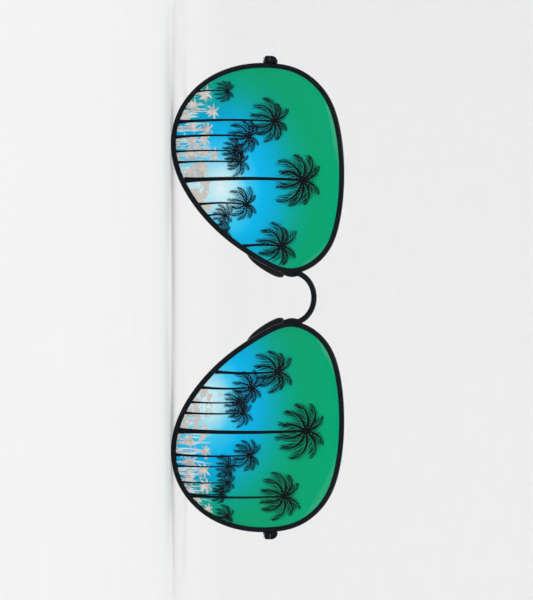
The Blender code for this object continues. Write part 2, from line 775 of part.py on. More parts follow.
def main():
    for old in list(bpy.data.objects):
        bpy.data.objects.remove(old)
    front = axis_empty("front_origin", (0.0, OVERALL_DEPTH / 2, 0.0), 1)
    finish(make_bridge(), "black_enamel", front)
    for side, sign in (("left", 1), ("right", -1)):
        axes = {
            "front": front,
            "temple": axis_empty(f"{side}_temple_axis", (HINGE_X, HINGE_DEPTH, HINGE_Z), sign),
            "pad": axis_empty(f"{side}_pad_axis", pad_point(0.0, 0.0, -PAD_AXIS_DEPTH), sign),
        }
        for group, pieces in PIECES.items():
            for piece, make, finish_name in pieces:
                obj = make(f"{side}_{piece}")
                if sign < 0:
                    mirror(obj)
                finish(obj, finish_name, axes[group])


main()
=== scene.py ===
"""The finished look of the aviator sunglasses: printed lenses, an enamelled wire frame, folding temples and
nose pads."""

import math

import bmesh
import bpy
import numpy as np
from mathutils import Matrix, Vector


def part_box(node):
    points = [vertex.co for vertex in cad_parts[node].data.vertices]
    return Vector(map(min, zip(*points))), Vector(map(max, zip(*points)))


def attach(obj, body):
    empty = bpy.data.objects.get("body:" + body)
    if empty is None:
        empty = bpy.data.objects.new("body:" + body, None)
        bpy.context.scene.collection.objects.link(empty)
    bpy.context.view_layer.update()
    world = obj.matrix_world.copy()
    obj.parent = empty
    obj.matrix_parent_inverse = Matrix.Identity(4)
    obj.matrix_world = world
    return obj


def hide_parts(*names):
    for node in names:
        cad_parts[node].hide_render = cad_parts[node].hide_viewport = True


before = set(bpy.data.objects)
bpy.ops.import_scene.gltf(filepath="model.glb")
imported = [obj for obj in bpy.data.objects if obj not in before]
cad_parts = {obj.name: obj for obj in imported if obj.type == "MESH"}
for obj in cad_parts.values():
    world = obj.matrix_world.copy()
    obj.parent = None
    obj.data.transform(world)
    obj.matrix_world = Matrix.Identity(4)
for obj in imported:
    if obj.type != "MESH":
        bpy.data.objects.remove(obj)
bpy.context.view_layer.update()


# ---- Lenses -------------------------------------------------------------------------------------------
# Each lens is a 2 mm sheet of smoky plastic, moulded to a sphere and cut to a teardrop. A V bevel is ground
# round its edge, and it is sprung into the groove of its rim. The front is printed and lacquered.
# Sizes are in millimetres, and depths are counted back from the foremost point of the lenses.

MM = 0.001
SIDES = {"left": 1, "right": -1}
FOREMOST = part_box("left_lens")[0].y

LENS_ANCHORS = np.array([
    (66.0, 28.3), (64.7, 35.2), (58.0, 43.4), (47.0, 47.3), (34.5, 48.2),
    (22.5, 47.1), (12.9, 43.2), (8.1, 34.5), (11.0, 26.3), (18.5, 15.5),
    (28.5, 6.6), (40.0, 1.65), (51.0, 2.45), (61.2, 10.2), (65.6, 21.0),
])
LENS_CENTRE = np.array((37.3, 24.9))
LENS_RADIUS = 88.0
LENS_THICKNESS = 2.0
FACE_WRAP = math.tan(math.radians(5.0))
GREEN = (0.0, 0.362, 0.175)
SMOKE = (0.012, 0.016, 0.015)


def teardrop_curve(per_span=60):
    """The closed cubic spline through the anchors. On each span the second derivative runs straight from one
    anchor's value to the next one's, and those values make the slopes agree at every anchor."""
    here, after = LENS_ANCHORS, np.roll(LENS_ANCHORS, -1, 0)
    span = np.linalg.norm(after - here, axis=1)
    before = np.roll(span, 1)
    slope = (after - here) / span[:, None]
    one = np.eye(len(here))
    system = np.diag(2 * (before + span))
    system += before[:, None] * np.roll(one, -1, 1) + span[:, None] * np.roll(one, 1, 1)
    bend = np.linalg.solve(system, 6 * (slope - np.roll(slope, 1, 0)))
    t = np.linspace(0, 1, per_span, endpoint=False)[None, :, None]
    s = 1 - t
    pull = (s**3 - s) * bend[:, None] + (t**3 - t) * np.roll(bend, -1, 0)[:, None]
    return (s * here[:, None] + t * after[:, None] + span[:, None, None] ** 2 / 6 * pull).reshape(-1, 2)


def teardrop(shares):
    """Points of the lens's visible edge at shares of its length, counted from the hinge over the brow, and the
    outward normals there: the edge's direction turned a quarter to the right."""
    loop = teardrop_curve()
    loop = np.vstack([loop, loop[:1]])
    walked = np.concatenate([[0], np.cumsum(np.linalg.norm(np.diff(loop, axis=0), axis=1))])
    at = np.asarray(shares) % 1 * walked[-1]
    ahead = (at + 0.02) % walked[-1]
    points = np.stack([np.interp(at, walked, loop[:, k]) for k in (0, 1)], 1)
    along = np.stack([np.interp(ahead, walked, loop[:, k]) for k in (0, 1)], 1) - points
    along /= np.linalg.norm(along, axis=1)[:, None]
    return points, np.stack([along[:, 1], -along[:, 0]], 1), walked[-1]


def lens_depth(x, z):
    """Depth of the lens's front: a sphere's, tilted so that the outer side lies further back."""
    across, up = x - LENS_CENTRE[0], z - LENS_CENTRE[1]
    sphere = LENS_RADIUS - np.sqrt(LENS_RADIUS**2 - across**2 - up**2)
    return sphere + FACE_WRAP * across + FACE_WRAP**2 * LENS_RADIUS / 2


def round_the_edge(points, normals, profile):
    """Rings round the lens's edge: each profile point is (outwards from the edge, back from mid thickness)."""
    profile = np.asarray(profile, float)
    middle = lens_depth(points[:, 0], points[:, 1]) + LENS_THICKNESS / 2
    flat = points[None] + normals[None] * profile[:, None, :1]
    return np.stack([flat[..., 0], middle[None] + profile[:, None, 1], flat[..., 1]], -1)


def skin(rings, poles=True):
    """Points and faces of a skin over rings of shape (ring, point, xyz): a quad between each four neighbours,
    and a fan from the first and the last ring to a pole in its middle, or from the last ring to the first."""
    count, around = rings.shape[:2]
    i = np.arange(count - 1 if poles else count)[:, None]
    j = np.arange(around)[None]
    nxt, up = (j + 1) % around, (i + 1) % count
    quads = np.stack([i * around + j, i * around + nxt, up * around + nxt, up * around + j], -1).reshape(-1, 4)
    points = rings.reshape(-1, 3)
    faces = quads.tolist()
    if poles:
        points = np.vstack([points, rings[0].mean(0), rings[-1].mean(0)])
        first, last = len(points) - 2, len(points) - 1
        turn = np.arange(around)
        onward = (turn + 1) % around
        top = (count - 1) * around
        faces += np.stack([onward, turn, np.full(around, first)], 1).tolist()
        faces += np.stack([top + turn, top + onward, np.full(around, last)], 1).tolist()
    return points, faces


def make_piece(name, parts, side, finishes, body, stands_for=(), sharp=40):
    """One piece from parts, each (points, faces) with points as (x, depth, z) on the left side. The right
    side is its mirror image. Faces are turned outwards, and edges sharper than sharp degrees stay crisp."""
    starts = np.cumsum([0] + [len(points) for points, _ in parts])
    points = np.vstack([points for points, _ in parts])
    faces = [[k + start for k in face] for start, (_, fs) in zip(starts.tolist(), parts) for face in fs]
    place = np.stack([points[:, 0] * side * MM, points[:, 1] * MM + FOREMOST, points[:, 2] * MM], 1)
    mesh = bpy.data.meshes.new(name)
    mesh.from_pydata(place.tolist(), [], faces)
    shape = bmesh.new()
    shape.from_mesh(mesh)
    bmesh.ops.recalc_face_normals(shape, faces=shape.faces)
    shape.to_mesh(mesh)
    shape.free()
    mesh.shade_smooth()
    mesh.set_sharp_from_angle(angle=math.radians(sharp))
    piece = bpy.data.objects.new(name, mesh)
    bpy.context.scene.collection.objects.link(piece)
    for finish in finishes:
        mesh.materials.append(finish)
    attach(piece, body)
    if stands_for:
        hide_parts(*stands_for)
    return piece


def finish_of(name, color, roughness, **sockets):
    """A Principled material, returned with its node tree and its shader."""
    made = bpy.data.materials.new(name)
    made.use_nodes = True
    shader = made.node_tree.nodes["Principled BSDF"]
    shader.inputs["Base Color"].default_value = (*color, 1.0)
    shader.inputs["Roughness"].default_value = roughness
    for socket, value in sockets.items():
        shader.inputs[socket.replace("_", " ")].default_value = value
    return made, made.node_tree, shader


def wired(tree, kind, inputs, **settings):
    """A shader node with its settings, and its inputs by name or place: one that is given as another node's
    output is linked to it, and any other is set."""
    made = tree.nodes.new("ShaderNode" + kind)
    for name, value in settings.items():
        setattr(made, name, value)
    for socket, value in inputs.items():
        if isinstance(value, bpy.types.NodeSocket):
            tree.links.new(value, made.inputs[socket])
        else:
            made.inputs[socket].default_value = value
    return made


def reckoned(tree, operation, *values):
    """What a Math node makes of the values."""
    return wired(tree, "Math", dict(enumerate(values)), operation=operation).outputs[0]


def stepped(tree, value, start, end, low=0.0, high=1.0):
    """A number that runs from low to high as the value runs from start to end, and holds beyond them."""
    ends = {"From Min": start, "From Max": end, "To Min": low, "To Max": high}
    return wired(tree, "MapRange", {"Value": value, **ends}).outputs["Result"]


def blended(tree, share, under, over):
    """One colour laid over another by a share."""
    return wired(tree, "Mix", {"Factor": share, "A": under, "B": over}, data_type="RGBA").outputs["Result"]


def grain_group():
    """Fine unevenness that every finish shares: two noises of different size, mixed, as a height, as a
    roughness that swings about its middle, and as a colour between two tones. Scale is in grains per metre."""
    group = bpy.data.node_groups.new("surface_grain", "ShaderNodeTree")
    face = group.interface
    for name, default in (("Scale", 2000.0), ("Roughness", 0.3), ("Swing", 0.1)):
        face.new_socket(name, in_out="INPUT", socket_type="NodeSocketFloat").default_value = default
    for name in ("Dark", "Light"):
        face.new_socket(name, in_out="INPUT", socket_type="NodeSocketColor")
    for name in ("Height", "Roughness"):
        face.new_socket(name, in_out="OUTPUT", socket_type="NodeSocketFloat")
    face.new_socket("Color", in_out="OUTPUT", socket_type="NodeSocketColor")
    given = group.nodes.new("NodeGroupInput").outputs
    place = wired(group, "TexCoord", {}).outputs["Object"]
    fine = wired(group, "TexNoise", {"Vector": place, "Scale": given["Scale"]}).outputs["Fac"]
    wider = reckoned(group, "MULTIPLY", given["Scale"], 0.12)
    broad = wired(group, "TexNoise", {"Vector": place, "Scale": wider}).outputs["Fac"]
    centred = reckoned(group, "SUBTRACT", broad, 0.5)
    results = {
        "Height": reckoned(group, "MULTIPLY_ADD", fine, 0.5, broad),
        "Roughness": reckoned(group, "MULTIPLY_ADD", centred, given["Swing"], given["Roughness"]),
        "Color": blended(group, stepped(group, broad, 0.32, 0.68), given["Dark"], given["Light"]),
    }
    out = group.nodes.new("NodeGroupOutput").inputs
    for name, result in results.items():
        group.links.new(result, out[name])
    return group


GRAIN = grain_group()


def grained(name, color, roughness, grain, contrast=0.25, **sockets):
    """A finish with the shared grain, which is given as grains per metre, the roughness that it swings about,
    the swing, and the depth of its bumps in metres. Its two tones lie a contrast under and over the colour."""
    made, tree, shader = finish_of(name, color, roughness, **sockets)
    scale, middle, swing, depth = grain
    dark, light = ((*(np.array(color) * share).tolist(), 1.0) for share in (1 - contrast, 1 + contrast))
    given = {"Scale": scale, "Roughness": middle, "Swing": swing, "Dark": dark, "Light": light}
    grain_out = wired(tree, "Group", given, node_tree=GRAIN).outputs
    bump = wired(tree, "Bump", {"Height": grain_out["Height"], "Distance": depth})
    tree.links.new(grain_out["Roughness"], shader.inputs["Roughness"])
    tree.links.new(grain_out["Color"], shader.inputs["Base Color"])
    tree.links.new(bump.outputs["Normal"], shader.inputs["Normal"])
    return made


def srgb(red, green, blue):
    """A colour given in screen steps of 0 to 255, as linear light."""
    steps = np.array((red, green, blue)) / 255
    return tuple(np.where(steps <= 0.04045, steps / 12.92, ((steps + 0.055) / 1.055) ** 2.4).tolist())


# The dawn glow that the print fades from: white at its heart, through cyan and blue to green all round.
GLOW = [
    (0.0, srgb(228, 248, 252)), (3.5, srgb(190, 240, 250)), (7.5, srgb(62, 206, 246)),
    (11.5, srgb(0, 184, 238)), (15.8, srgb(0, 172, 212)), (19.0, srgb(0, 168, 176)),
    (22.5, srgb(0, 163, 138)), (27.0, srgb(0, 160, 112)), (40.0, srgb(0, 161, 112)),
]
GLOW_HEARTS = {"left": (29.5, 10.5), "right": (-31.0, 14.2)}
GLOW_STRETCH = 1.35
GLOW_REACH = 40.0
GLOW_DROP = 2.6
HAZE = srgb(212, 206, 199)
HAZE_MIDDLES = {"left": 29.0, "right": -31.0}
DAWN = srgb(222, 244, 250)


def lens_print(side_name):
    """The front's print. The glow goes by distance from its heart, stretched sideways and held to a small drop
    below it, so that the light falls in a plume. Over it lie upright streaks of light, low down, where a noise
    drawn out upwards passes a limit, and a broken haze, where a noise rises over a limit that grows with
    height and with distance from the haze's middle."""
    made, tree, shader = finish_of(
        f"printed_lens_{side_name}", GREEN, 0.12,
        Coat_Weight=0.06, Coat_Roughness=0.03, Specular_IOR_Level=0.06,
    )
    heart_x, heart_z = GLOW_HEARTS[side_name]
    place = wired(tree, "TexCoord", {}).outputs["Object"]
    where = wired(tree, "SeparateXYZ", {"Vector": place}).outputs
    centred = wired(tree, "Mapping", {
        "Vector": place, "Location": (heart_x * MM, 0.0, heart_z * MM),
        "Scale": (GLOW_STRETCH * GLOW_REACH * MM, 1e6, GLOW_REACH * MM),
    }, vector_type="TEXTURE").outputs["Vector"]
    lowest = (-10.0, -10.0, -GLOW_DROP / GLOW_REACH)
    plume = wired(tree, "VectorMath", {0: centred, 1: lowest}, operation="MAXIMUM").outputs["Vector"]
    away = wired(tree, "VectorMath", {0: plume}, operation="LENGTH").outputs["Value"]
    glow = wired(tree, "ValToRGB", {"Fac": away})
    ramp = glow.color_ramp.elements
    ramp.remove(ramp[1])
    ramp[0].color = (*GLOW[0][1], 1.0)
    for reach, color in GLOW[1:]:
        ramp.new(reach / GLOW_REACH).color = (*color, 1.0)

    drawn_out = wired(tree, "Mapping", {"Vector": place, "Scale": (1.0, 0.0, 0.12)}).outputs["Vector"]
    rain = wired(tree, "TexNoise", {"Vector": drawn_out, "Scale": 1100.0, "Detail": 2.0}).outputs["Fac"]
    low_down = stepped(tree, where["Z"], 7 * MM, 12 * MM, 0.85, 0.0)
    streaks = reckoned(tree, "MULTIPLY", stepped(tree, rain, 0.53, 0.56), low_down)

    squat = wired(tree, "Mapping", {"Vector": place, "Scale": (1.0, 0.0, 1.25)}).outputs["Vector"]
    patches = {"Vector": squat, "Scale": 300.0, "Detail": 5.0, "Roughness": 0.62}
    cloud = wired(tree, "TexNoise", patches).outputs["Fac"]
    aside = reckoned(tree, "ABSOLUTE", reckoned(tree, "SUBTRACT", where["X"], HAZE_MIDDLES[side_name] * MM))
    outskirts = stepped(tree, aside, 5 * MM, 16 * MM, 0.0, 0.12)
    limit = reckoned(tree, "ADD", stepped(tree, where["Z"], 10 * MM, 18 * MM, 0.47, 0.8), outskirts)
    haze = stepped(tree, reckoned(tree, "SUBTRACT", cloud, limit), 0.0, 0.012)

    lit = blended(tree, streaks, glow.outputs["Color"], (*DAWN, 1.0))
    tree.links.new(blended(tree, haze, lit, (*HAZE, 1.0)), shader.inputs["Base Color"])
    return made


def make_lens(side_name):
    """Front and back are spheres, gridded from the middle out to the edge. The bevel runs between them."""
    edge, normals, _ = teardrop(np.linspace(0, 1, 240, endpoint=False))
    inset = 0.12
    rim_line = edge - normals * inset
    shares = np.array((0.02, 0.15, 0.3, 0.45, 0.6, 0.72, 0.83, 0.92))
    flat = LENS_CENTRE + (rim_line - LENS_CENTRE)[None] * shares[:, None, None]
    front = np.stack([flat[..., 0], lens_depth(flat[..., 0], flat[..., 1]), flat[..., 1]], -1)
    back = front[::-1] + (0, LENS_THICKNESS, 0)
    half = LENS_THICKNESS / 2
    arris, land, crest = 0.05, 0.45, 0.5
    bevel = [
        (-inset - arris, -half), (-inset, arris - half), (-inset, -land), (crest, 0.0), (-inset, land),
        (-inset, half - arris), (-inset - arris, half),
    ]
    ground = round_the_edge(edge, normals, bevel)
    rings = np.concatenate([front, ground, back])
    lens = make_piece(
        f"{side_name}_printed_lens", [skin(rings)], SIDES[side_name], [lens_print(side_name), SMOKY_BACK],
        "front", [f"{side_name}_lens"], sharp=30,
    )
    around = rings.shape[1]
    printed_rings = len(front) + 2
    order = np.zeros(len(lens.data.polygons), np.int32)
    order[printed_rings * around:(len(rings) - 1) * around] = 1
    order[-around:] = 1
    lens.data.polygons.foreach_set("material_index", order)


SMOKY_BACK = grained(
    "lens_back", SMOKE, 0.05, (900.0, 0.06, 0.03, 0.000002),
    Coat_Weight=0.5, Coat_Roughness=0.03, Specular_IOR_Level=0.45,
)
for side_name in SIDES:
    make_lens(side_name)


# ---- Palms printed on the lenses ----------------------------------------------------------------------
# Two passes of ink on each lens, under the lacquer: a pale one for the far palms and a near-black one for
# the near palms. Each stands a few hundredths of a millimetre over the lens and follows its curve.

INK = srgb(6, 13, 20)
# How far the ink reaches into the lacquer behind the lens's surface, and how far each kind of mark stands
# in front of it.
INK_UNDER = 0.03
FAR_FROND_OVER = 0.012
FAR_TRUNK_OVER = 0.018
NEAR_FROND_OVER = 0.035
NEAR_TRUNK_OVER = 0.045
FAR_STEMS = 16
# Near palms as (across, height of the crown, reach of the fronds, width of the trunk), on the right lens.
NEAR_PALMS = [
    (-59.0, 15.9, 3.3, 0.34), (-50.2, 29.3, 6.4, 0.56), (-45.8, 21.9, 5.4, 0.5), (-41.6, 18.3, 3.9, 0.36),
    (-38.5, 19.6, 4.1, 0.4), (-33.4, 37.4, 8.0, 0.85), (-26.5, 21.4, 5.0, 0.45), (-23.3, 15.4, 3.4, 0.34),
    (-18.6, 15.2, 3.3, 0.32), (-15.2, 13.5, 3.1, 0.3), (-14.6, 31.2, 6.8, 0.55), (-8.7, 15.0, 3.3, 0.32),
]
FAR_PALMS = {
    "right": [
        (-58.2, 9.9), (-54.6, 6.6), (-53.0, 12.0), (-51.3, 4.4), (-48.6, 6.4), (-47.9, 10.4), (-44.2, 6.4),
        (-45.0, 9.6), (-40.5, 12.3), (-40.3, 6.0), (-36.0, 9.0), (-56.3, 4.2),
    ],
    "left": [
        (43.6, 10.0), (46.8, 5.2), (49.3, 9.4), (51.6, 5.6), (53.8, 10.0), (55.2, 3.9), (57.6, 7.4),
        (60.6, 10.6), (61.9, 8.2), (40.2, 5.4),
    ],
}
ART_SHIFT = {"left": (71.3, 0.9), "right": (0.0, 0.0)}
# Fronds as (angle at the crown, angle at the tip, length), for one half of a crown. Angles are in degrees over
# the level, and the tip's is steeper because the frond arches over.
HALF_CROWN = np.array([
    (84, 22, 0.84), (58, -30, 1.02), (28, -68, 1.18), (-6, -92, 1.16), (-46, -104, 0.98),
])
HALF_STAR = np.array([(72, 40, 0.9), (30, -10, 1.0), (-20, -60, 1.0), (-62, -80, 0.75)])


def inside_teardrop(x, z, margin):
    """True where a point on the left lens lies inside its visible edge by the margin: the edge is crossed an
    odd number of times on the way out along x."""
    edge, normals, _ = teardrop(np.linspace(0, 1, 200, endpoint=False))
    ring = edge - normals * margin
    ax, az = ring.T[:, :, None]
    bx, bz = np.roll(ring, -1, 0).T[:, :, None]
    px, pz = np.ravel(x)[None], np.ravel(z)[None]
    crosses = (az > pz) != (bz > pz)
    reach = ax + (pz - az) * (bx - ax) / np.where(bz == az, 1e-9, bz - az)
    return (np.sum(crosses & (px < reach), 0) % 2 == 1).reshape(np.shape(x))


def edge_below(x):
    """Height of the lens's lower edge under each x: the part of the edge under a line across the lens."""
    edge = teardrop(np.linspace(0, 1, 600, endpoint=False))[0]
    lower = edge[edge[:, 1] < np.interp(edge[:, 0], (8, 66), (34, 27))]
    lower = lower[np.argsort(lower[:, 0])]
    return np.interp(x, lower[:, 0], lower[:, 1])


def fronds(crown, reach, half, leaves, leaf_length, leaf_width, core, chance):
    """A palm's crown as kites of shape (kite, 4, xz). Along each frond its angle swings from the crown's to
    the tip's, and its spine is the running sum of steps that way. Leaflets stand off both sides, turn to the
    tip and sag, are longest at mid length, and are half as long above the frond as below it. The frond's dark
    core is a row of kites along the spine, widest a third of the way out."""
    whole = np.vstack([half, half * (-1, -1, 1) + (180, 180, 0)])
    start, end = np.radians(whole[:, :2] + chance.uniform(-8, 8, (len(whole), 2))).T[:, :, None]
    length = reach * (whole[:, 2] * chance.uniform(0.86, 1.1, len(whole)))[:, None]
    t = np.linspace(0, 1, leaves + 1)[None]
    angle = start + (end - start) * t**1.15
    along = np.stack([np.cos(angle), np.sin(angle)], -1)
    across = np.stack([-along[..., 1], along[..., 0]], -1)
    spine = crown + (np.cumsum(along, 1) - along[:, :1]) * (length / leaves)[..., None]
    fall = np.array((0.0, -1.0))
    kites = []
    for side in (-1, 1):
        below = (side * across @ fall > 0)[..., None]
        splay = np.radians(64 - 42 * t) + chance.uniform(-0.1, 0.1, angle.shape)
        lean = along * np.cos(splay)[..., None] + side * across * np.sin(splay)[..., None] + 0.22 * fall
        lean /= np.linalg.norm(lean, axis=2)[..., None]
        swell = 0.22 + 0.78 * np.sin(np.pi * t**0.85)
        size = leaf_length * length * swell * chance.uniform(0.8, 1.15, angle.shape)
        size = size[..., None] * np.where(below, 1.0, 0.5)
        wide = np.stack([-lean[..., 1], lean[..., 0]], -1) * leaf_width * reach
        belly = spine + lean * size * 0.3
        kites.append(np.stack([spine, belly + wide, spine + lean * size, belly - wide], 2))
    half_core = core * reach * (np.sin(np.pi * t**0.6) + 0.22 * (1 - t))[..., None] * across
    kites.append(np.stack([
        spine[:, :-1] + half_core[:, :-1], spine[:, 1:] + half_core[:, 1:] + 1e-3 * across[:, 1:],
        spine[:, 1:] - half_core[:, 1:] - 1e-3 * across[:, 1:], spine[:, :-1] - half_core[:, :-1],
    ], 2))
    return np.concatenate([k.reshape(-1, 4, 2) for k in kites])


def ink_flakes(kites, side, over):
    """Closed flakes of ink from kites (flake, 4, xz): each is carried onto the lens's curve twice, a little in
    front of its surface and a little behind it, and walled between. Flakes that cross the edge are left out.
    The fronts stand at seven heights in turn, so that flakes that overlap don't share a plane."""
    x, z = kites[..., 0] * side, kites[..., 1]
    kept = inside_teardrop(x, z, 0.06).all(1)
    x, z = x[kept], z[kept]
    steps = (np.arange(len(x)) % 7)[:, None] * 0.0012
    front = np.stack([x, lens_depth(x, z) - over - steps, z], -1)
    back = np.stack([x, lens_depth(x, z) + INK_UNDER, z], -1)
    points = np.concatenate([front, back], 1).reshape(-1, 3)
    box = np.array([(0, 1, 2, 3), (7, 6, 5, 4), (0, 4, 5, 1), (1, 5, 6, 2), (2, 6, 7, 3), (3, 7, 4, 0)])
    return points, (np.arange(len(x))[:, None, None] * 8 + box).reshape(-1, 4).tolist()


def trunk(crown, foot, width, side, over, lean=0.5):
    """A trunk as a ribbon of ink from its foot to its crown. It leans with the sine of the way up, thins
    evenly, and flares where it meets the ground."""
    t = np.linspace(0, 1, 24)
    x = (crown[0] + lean * np.sin(np.pi * t) * np.sign(crown[0])) * side
    z = foot + (crown[1] - foot) * t
    half = width * (0.5 + 0.32 * (1 - t) + 0.45 * np.exp(-t * 14)) * 0.85
    left, right = x - half, x + half
    corners = ((left, -over), (right, -over), (right, INK_UNDER), (left, INK_UNDER))
    return skin(np.stack([np.stack([at, lens_depth(at, z) + back, z], 1) for at, back in corners], 1))


def print_palms(side_name):
    """Both passes of ink on one lens: the far palms with thin stems between them, then the near ones."""
    side, (shift_x, shift_z) = SIDES[side_name], ART_SHIFT[side_name]
    chance = np.random.default_rng(11 if side > 0 else 5)
    far = []
    for across, height in FAR_PALMS[side_name]:
        reach = chance.uniform(1.8, 2.7)
        kites = fronds(np.array((across, height)), reach, HALF_STAR, 6, 0.34, 0.05, 0.085, chance)
        far.append(ink_flakes(kites, side, FAR_FROND_OVER))
        foot = edge_below(across * side) + 0.08
        if height - foot > 1.0:
            far.append(trunk((across, height), foot, 0.3, side, FAR_TRUNK_OVER, lean=0.1))
    stems = np.sort(chance.uniform(24.0, 60.0, FAR_STEMS))
    feet = edge_below(stems) + 0.1
    tops = np.minimum(feet + chance.uniform(2.0, 5.0, FAR_STEMS), 9.0)
    for x, foot, top in zip(stems, feet, tops):
        if top > foot + 1:
            far.append(trunk((x * side, top), foot, 0.24, side, FAR_TRUNK_OVER, lean=0.1))
    make_piece(f"{side_name}_far_palms", far, side, [PALE_INK], "front", sharp=20)
    near = []
    for across, height, reach, width in NEAR_PALMS:
        crown = np.array((across + shift_x, height + shift_z))
        leaves, leaf_width = (14, 0.0165) if reach > 6 else (10, 0.02)
        kites = fronds(crown, reach, HALF_CROWN, leaves, 0.5, leaf_width, 0.034, chance)
        near.append(ink_flakes(kites, side, NEAR_FROND_OVER))
        foot = edge_below(crown[0] * side) + 0.08
        if crown[1] - foot > 2.0:
            lean = 0.35 if width > 0.4 else 0.2
            near.append(trunk(crown, foot, width, side, NEAR_TRUNK_OVER, lean))
    make_piece(f"{side_name}_near_palms", near, side, [DARK_INK], "front", sharp=20)


INK_GRAIN = (5000.0, 0.22, 0.15, 0.000002)
DARK_INK, PALE_INK = (
    grained(name, color, 0.2, INK_GRAIN, Coat_Weight=0.06, Coat_Roughness=0.03, Specular_IOR_Level=0.06)
    for name, color in (("dark_ink", INK), ("pale_ink", HAZE))
)
for side_name in SIDES:
    print_palms(side_name)


# ---- Rims ---------------------------------------------------------------------------------------------
# Each rim is nickel-silver wire, drawn with a V groove inside, bent round the lens and enamelled black. Its
# ends stop either side of a narrow slit beside the hinge, so that it can open to take the lens.

ENAMEL = srgb(4, 13, 20)
RIM_WIDTH = 1.3
RIM_DEPTH = 2.2
SLIT = 0.08


def rim_profile():
    """The wire's section as (outwards, back): a squarish ellipse outside, two rounded lips and a V inside."""
    turn = np.radians(np.linspace(-90, 90, 15))
    outwards, back = (np.sign(wave) * np.abs(wave) ** 0.75 for wave in (np.cos(turn), np.sin(turn)))
    half = RIM_DEPTH / 2
    flat, groove = 0.5, 0.65
    belly = np.stack([flat + (RIM_WIDTH - flat) * outwards, half * back], 1)
    lip = np.array([
        (0.2, half), (-0.14, half - 0.01), (-0.24, half - 0.05), (-0.14, half - 0.085), (0.0, half - 0.2),
        (0.0, 0.62),
    ])
    return np.vstack([belly, lip, (groove, 0.0), lip[::-1] * (1, -1)])


BLACK_ENAMEL = grained(
    "black_enamel", ENAMEL, 0.34, (2600.0, 0.3, 0.16, 0.000008),
    Coat_Weight=0.05, Coat_Roughness=0.1, Specular_IOR_Level=0.1,
)
for side_name, side in SIDES.items():
    around_lens = teardrop([0.0])[2]
    gap = SLIT / 2 / around_lens
    edge, normals, _ = teardrop(np.linspace(gap, 1 - gap, 300))
    rings = round_the_edge(edge, normals, rim_profile()).transpose(1, 0, 2)
    make_piece(
        f"{side_name}_rim_wire", [skin(rings)], side, [BLACK_ENAMEL], "front",
        [f"{side_name}_rim"], sharp=50,
    )


# ---- Bridge -------------------------------------------------------------------------------------------
# One round wire bent to an arch over the nose. Each end is hammered to a tapering foot that lies along the
# nasal side of a rim and is brazed there, and the enamel runs over the joint.

BRIDGE_WIRE = 0.8
BRIDGE_BASE = 34.6
BRIDGE_HALF_WIDTH = 7.15
BRIDGE_RISE = 6.2
BRIDGE_BOW = 1.6


def nasal_place(z, outwards):
    """Places beside the nasal edge of the lens at heights z, moved outwards, at the lens's mid thickness."""
    edge, normals, _ = teardrop(np.linspace(0, 1, 3000, endpoint=False))
    edge, normals = edge[edge[:, 0] < LENS_CENTRE[0]], normals[edge[:, 0] < LENS_CENTRE[0]]
    nearest = np.abs(edge[:, 1][None] - np.atleast_1d(z)[:, None]).argmin(1)
    moved = edge[nearest] + normals[nearest] * np.atleast_1d(outwards)[:, None]
    middle = lens_depth(*edge[nearest].T) + LENS_THICKNESS / 2
    return np.stack([moved[:, 0], middle, moved[:, 1]], 1)


def through(points, steps):
    """A smooth path through points: between each two, the cubic that leaves and meets them in the direction of
    their neighbours."""
    points = np.asarray(points, float)
    ends = np.vstack([2 * points[0] - points[1], points, 2 * points[-1] - points[-2]])
    a, b, c, d = (ends[k:len(ends) - 3 + k, None] for k in range(4))
    t = np.linspace(0, 1, steps, endpoint=False)[None, :, None]
    path = 0.5 * (2 * b + (c - a) * t + (2 * a - 5 * b + 4 * c - d) * t**2 + (3 * b - a - 3 * c + d) * t**3)
    return np.vstack([path.reshape(-1, points.shape[1]), points[-1:]])


def wire(path, radius, around, reference):
    """Rings along a path: at each point a circle of the radius there, square to the path's direction. Each
    starts as near the reference direction as it can."""
    along = np.gradient(path, axis=0)
    along /= np.linalg.norm(along, axis=1)[:, None]
    u = np.asarray(reference, float) - along * (along @ np.asarray(reference, float))[:, None]
    u /= np.linalg.norm(u, axis=1)[:, None]
    v = np.cross(along, u)
    turn = np.linspace(0, 2 * np.pi, around, endpoint=False)[None, :, None]
    radius = np.broadcast_to(radius, len(path))[:, None, None]
    return path[:, None] + radius * (np.cos(turn) * u[:, None] + np.sin(turn) * v[:, None])


foot_z = np.array((31.5, 32.2, 33.0, 33.8, 34.6))
foot = nasal_place(foot_z, RIM_WIDTH + np.array((-0.55, -0.28, -0.05, 0.08, 0.15)))
turn = np.radians(np.linspace(16, 164, 19))
arch = np.stack([
    BRIDGE_HALF_WIDTH * np.cos(turn), foot[-1, 1] - BRIDGE_BOW * np.sin(turn),
    BRIDGE_BASE + BRIDGE_RISE * np.sin(turn),
], 1)
bridge_path = through(np.vstack([foot, arch, foot[::-1] * (-1, 1, 1)]), 6)
height = bridge_path[:, 2]
thick = np.interp(height, (31.5, 33.0, 35.0, 36.6, 38.6), (0.45, 0.75, 0.86, 0.8, BRIDGE_WIRE))
make_piece(
    "bridge_wire", [skin(wire(bridge_path, thick, 24, (0, 1, 0)))], 1, [BLACK_ENAMEL],
    "front", ["bridge"],
)


# ---- End pieces and rim locks -------------------------------------------------------------------------
# The lock is two small blocks brazed to the rim either side of its slit, and a screw from below draws them
# together. The upper block is the end piece: it runs back as a lug to carry the hinge.

LOCK_INNER = 67.4
LOCK_FRONT = 7.7
LOCK_BACK = 10.7
LOCK_TOP = 30.5
LOCK_FOOT = 26.8
LUG_BACK = 13.94
LUG_HALF_HEIGHT = 1.3
OUTER = 69.3
HINGE_Z = 28.3


